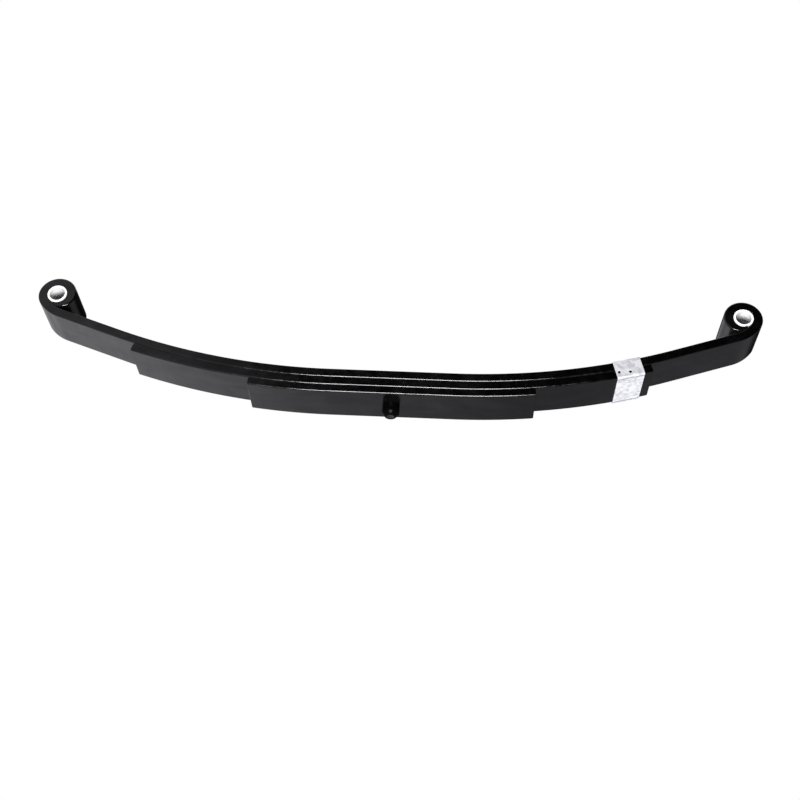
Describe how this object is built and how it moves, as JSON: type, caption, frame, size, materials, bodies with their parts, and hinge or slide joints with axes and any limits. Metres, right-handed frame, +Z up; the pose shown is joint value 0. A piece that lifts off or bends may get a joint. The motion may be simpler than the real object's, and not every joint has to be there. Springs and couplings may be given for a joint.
{
  "type": "leaf spring",
  "caption": "Semi-elliptic trailer leaf spring with upturned rolled eyes, plastic bushes, a centre bolt and a sheet-metal rebound clip.",
  "frame": {"origin": "on the centre bolt's axis, at the flat underside of the third leaf where it rests on the axle pad", "axes": "+X along the spring towards the end with the rebound clip, +Y across the leaves, +Z up from the axle pad towards the vehicle frame"},
  "size_m": [0.6772, 0.0464, 0.1243],
  "materials": {
    "leaf_paint": "semi-gloss black dip paint over spring steel",
    "bolt_paint": "black paint over plain steel",
    "bush_plastic": "moulded white nylon",
    "clip_steel": "galvanised sheet steel"
  },
  "bodies": {
    "centre": {"main_leaf": "leaf_paint", "second_leaf": "leaf_paint", "third_leaf": "leaf_paint", "centre_bolt": "bolt_paint", "centre_nut": "bolt_paint"},
    "front_arm": {"front_bush": "bush_plastic"},
    "rear_arm": {"rear_bush": "bush_plastic", "rebound_clip": "clip_steel"}
  },
  "joints": [
    {"name": "front_flex", "type": "hinge", "parent": "centre", "child": "front_arm", "pos_m": [-0.122, 0, 0.0155], "axis": [0, -1, 0], "range_deg": [-1, 12], "stiffness_Nm_per_rad": 3750, "deforming": ["main_leaf", "second_leaf", "third_leaf"]},
    {"name": "rear_flex", "type": "hinge", "parent": "centre", "child": "rear_arm", "pos_m": [0.122, 0, 0.0155], "axis": [0, 1, 0], "range_deg": [-1, 12], "stiffness_Nm_per_rad": 3750, "deforming": ["main_leaf", "second_leaf", "third_leaf"]}
  ],
  "couplings": [
    {"joint": "rear_flex", "follows": "front_flex", "ratio": 1}
  ]
}
